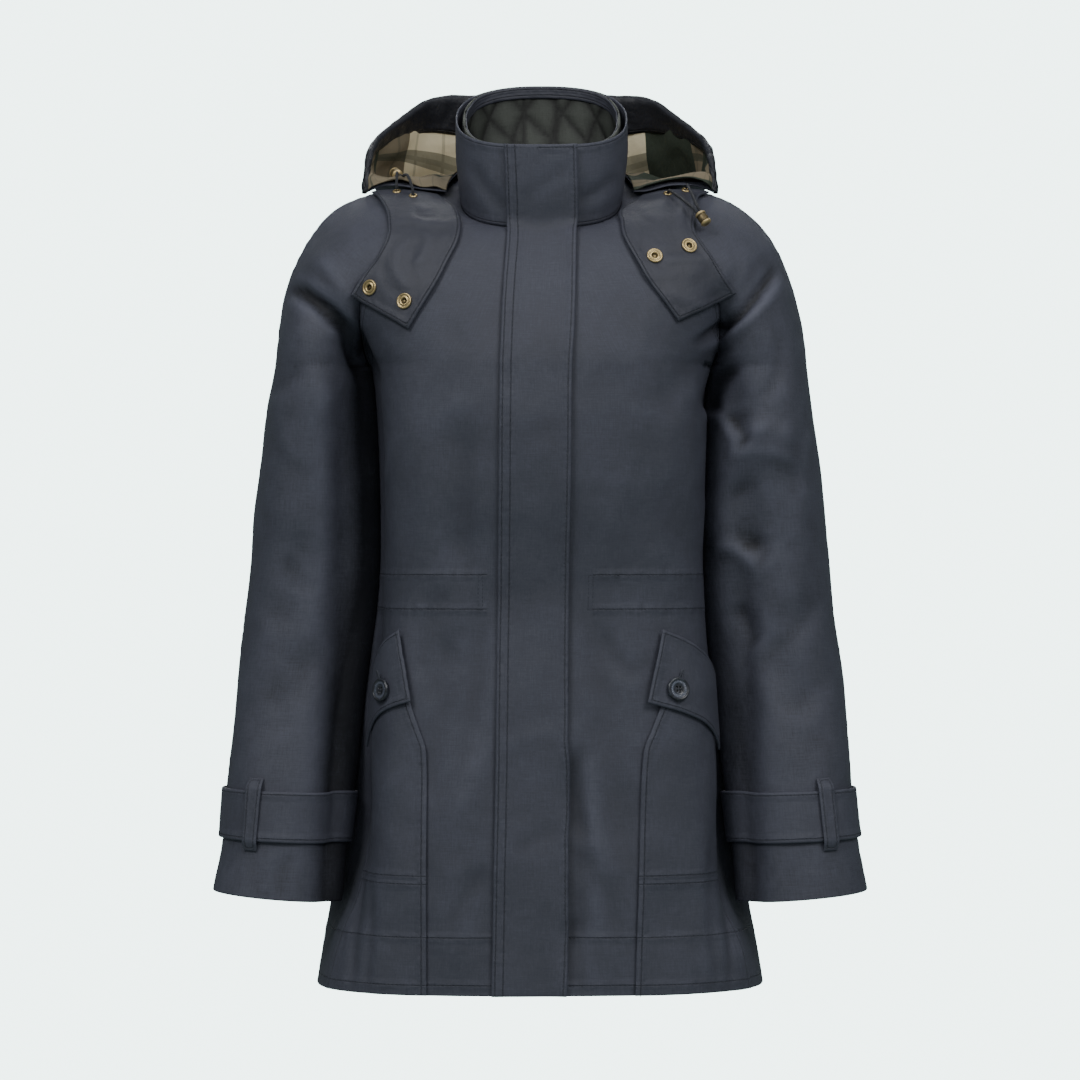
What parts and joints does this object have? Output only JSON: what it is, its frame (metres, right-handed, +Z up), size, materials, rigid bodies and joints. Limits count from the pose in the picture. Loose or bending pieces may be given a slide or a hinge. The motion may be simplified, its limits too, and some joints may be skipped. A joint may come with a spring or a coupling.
{
  "type": "waxed cotton jacket",
  "caption": "Hip-length waxed cotton jacket, filled out with no wearer, with raglan sleeves, stand collar, storm flap and a hood folded back over the shoulders.",
  "frame": {"origin": "middle of the neck opening at the level of the shoulders, where the wearer's neck and shoulders carry the jacket", "axes": "+Z up from the hem to the collar, -Y towards the front, +X towards the wearer's left sleeve"},
  "size_m": [0.58, 0.302, 0.8145],
  "materials": {
    "waxed_cotton": "waxed, dull sheen",
    "quilted_lining": "quilted, satin",
    "check_lining": "soft brushed cotton, checked",
    "brass": "antique, worn",
    "nickel": "dull",
    "dark_plastic": "polished",
    "cord": "braided"
  },
  "bodies": {
    "root": {"front_right": "waxed_cotton", "front_left": "waxed_cotton", "back": "waxed_cotton", "sleeve_front_right": "waxed_cotton", "sleeve_back_right": "waxed_cotton", "sleeve_front_left": "waxed_cotton", "sleeve_back_left": "waxed_cotton", "collar": "waxed_cotton", "collar_binding": "waxed_cotton", "storm_flap": "waxed_cotton", "hood_shell": "waxed_cotton", "hood_rim": "waxed_cotton", "throat_tab_right": "waxed_cotton", "throat_tab_left": "waxed_cotton", "pocket_right": "waxed_cotton", "pocket_left": "waxed_cotton", "pocket_flap_right": "waxed_cotton", "pocket_flap_left": "waxed_cotton", "cuff_strap_right": "waxed_cotton", "cuff_strap_left": "waxed_cotton", "cuff_loop_right": "waxed_cotton", "cuff_loop_left": "waxed_cotton", "collar_lining": "quilted_lining", "hood_lining": "check_lining", "snap_right_upper": "brass", "snap_right_lower": "brass", "snap_left_inner": "brass", "snap_left_outer": "brass", "eyelet_right_outer": "brass", "eyelet_right_inner": "brass", "eyelet_left_inner": "brass", "eyelet_left_outer": "brass", "side_stud": "nickel", "button_right": "dark_plastic", "button_left": "dark_plastic", "cord_lock_right": "dark_plastic", "cord_lock_left": "dark_plastic", "drawcord_right_1": "cord", "drawcord_right_2": "cord", "drawcord_left_1": "cord", "drawcord_left_2": "cord"}
  },
  "joints": []
}
